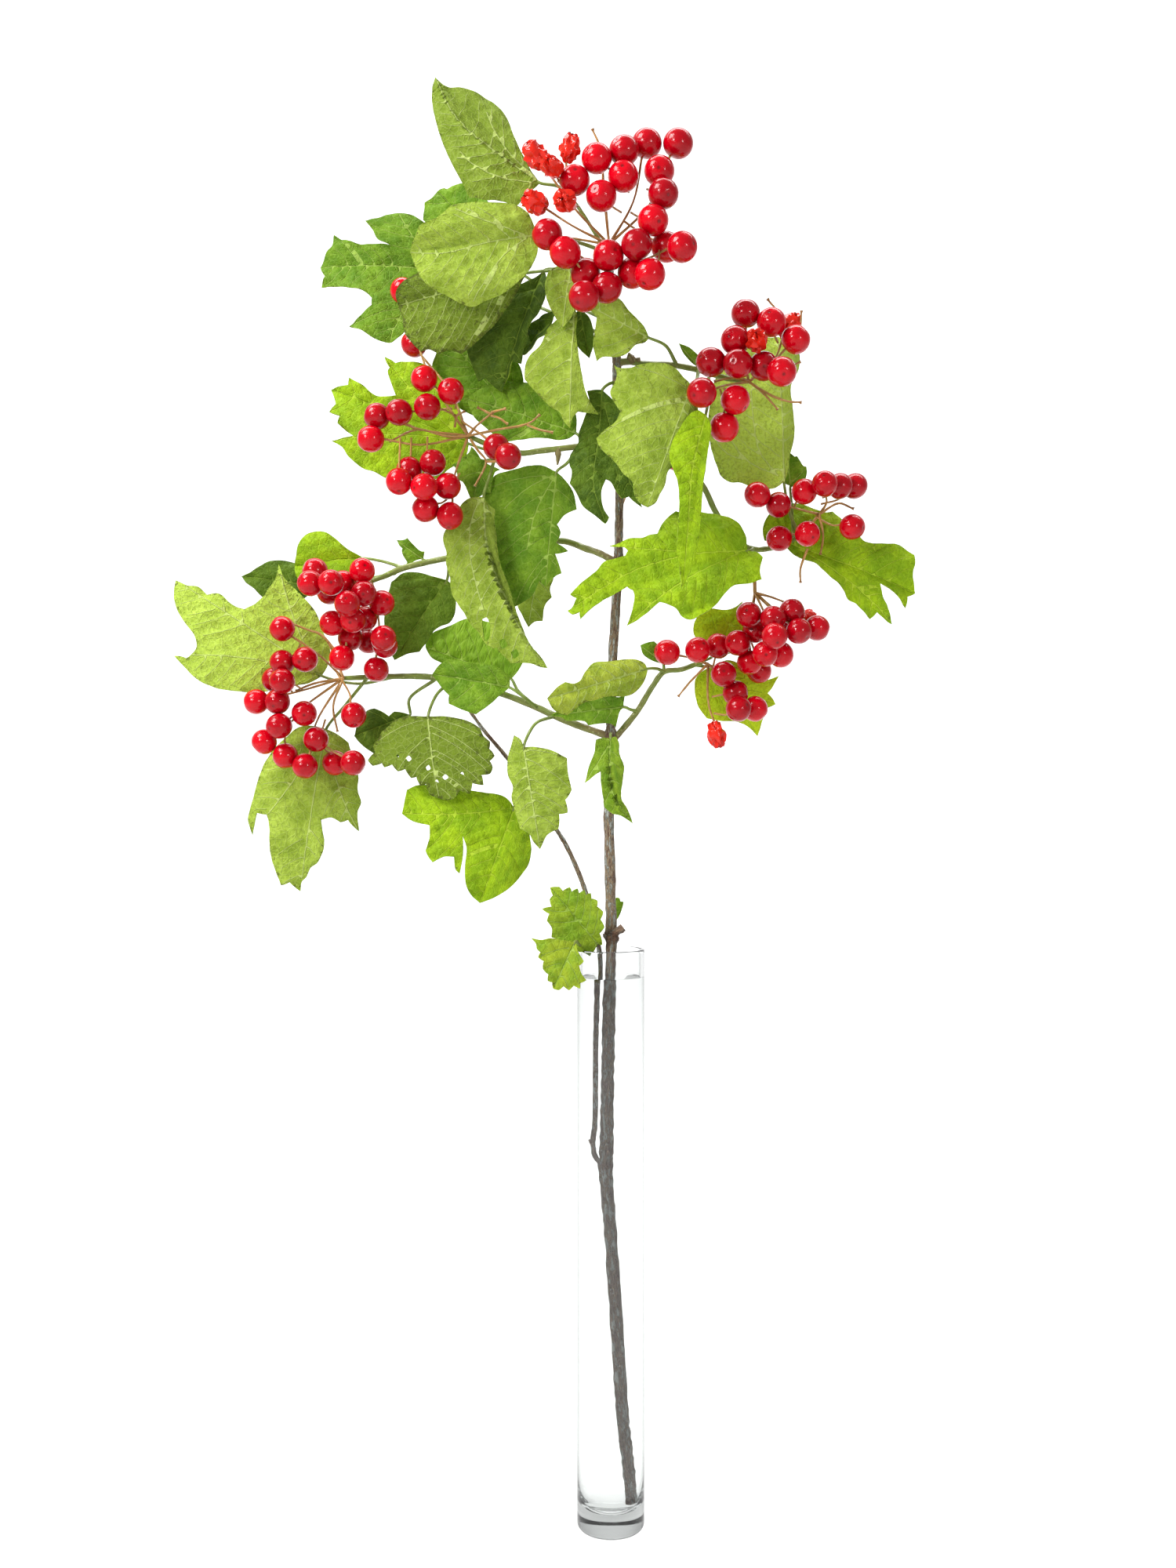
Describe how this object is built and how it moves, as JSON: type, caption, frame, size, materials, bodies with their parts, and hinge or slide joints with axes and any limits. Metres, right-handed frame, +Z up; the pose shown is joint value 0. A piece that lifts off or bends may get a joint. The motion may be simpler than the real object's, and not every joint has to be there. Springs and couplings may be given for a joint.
{
  "type": "jug of guelder rose branch",
  "caption": "Slim clear glass cylinder jug of water holding a tall guelder rose branch with lobed green leaves and hanging bunches of red berries.",
  "frame": {"origin": "centre of the jug's flat foot, on the surface it stands on", "axes": "+Z up along the jug, +X to the viewer's right and -Y towards the viewer in the picture"},
  "size_m": [0.3164, 0.1344, 0.5904],
  "materials": {
    "glass": "clear polished glass",
    "water": "clear still water",
    "bark": "rough grey-brown bark",
    "twig": "smooth green young bark",
    "berry": "glossy red berry skin",
    "leaf_under": "matt pale underside of a leaf",
    "leaf_bright": "satin yellow-green leaf",
    "leaf_green": "satin mid-green leaf",
    "leaf_dark": "satin dark green leaf"
  },
  "bodies": {
    "root": {"vase": "glass", "water": "water", "twig_left_low": "twig", "twig_left_mid": "twig", "twig_left_high": "twig", "twig_right_high": "twig", "twig_right_mid": "twig", "twig_right_low": "twig", "main_stem": "bark", "bunch_top": "berry", "bunch_right_high": "berry", "bunch_right_mid": "berry", "bunch_right_low": "berry", "bunch_right_foot": "berry", "bunch_left_high": "berry", "bunch_left_mid": "berry", "bunch_left_low": "berry", "bunch_back_right": "berry", "bunch_back_centre": "berry", "leaf_crown_tall": "leaf_under", "leaf_crown_round": "leaf_under", "leaf_crown_olive": "leaf_under", "leaf_crown_dark": "leaf_dark", "leaf_left_three_lobed": "leaf_green", "leaf_behind_crown": "leaf_green", "leaf_pale_hanging": "leaf_under", "leaf_folded_grey": "leaf_under", "leaf_slim_dark_right": "leaf_dark", "leaf_slim_dark_left": "leaf_dark", "leaf_upper_right": "leaf_under", "leaf_large_pale": "leaf_under", "leaf_bright_hanging": "leaf_bright", "leaf_bright_wide": "leaf_bright", "leaf_dark_centre": "leaf_dark", "leaf_grey_right": "leaf_under", "leaf_right_drooping": "leaf_bright", "leaf_under_berries": "leaf_bright", "leaf_behind_berries": "leaf_bright", "leaf_node_high": "leaf_under", "leaf_node_hanging": "leaf_green", "leaf_yellow_tipped": "leaf_bright", "leaf_bluish": "leaf_green", "leaf_mid_green": "leaf_green", "leaf_big_drooping": "leaf_under", "leaf_second_hanging": "leaf_green", "leaf_third_hanging": "leaf_under", "leaf_dark_shaded": "leaf_dark", "leaf_under_drooping": "leaf_green", "leaf_over_twig": "leaf_green", "leaf_left_bright": "leaf_bright", "leaf_left_dark": "leaf_dark", "leaf_big_pale": "leaf_under", "leaf_lower_left": "leaf_under", "leaf_olive_damaged": "leaf_under", "leaf_behind_olive": "leaf_dark", "leaf_small_underside": "leaf_under", "leaf_bright_lower": "leaf_bright", "leaf_rim": "leaf_green"}
  },
  "joints": []
}
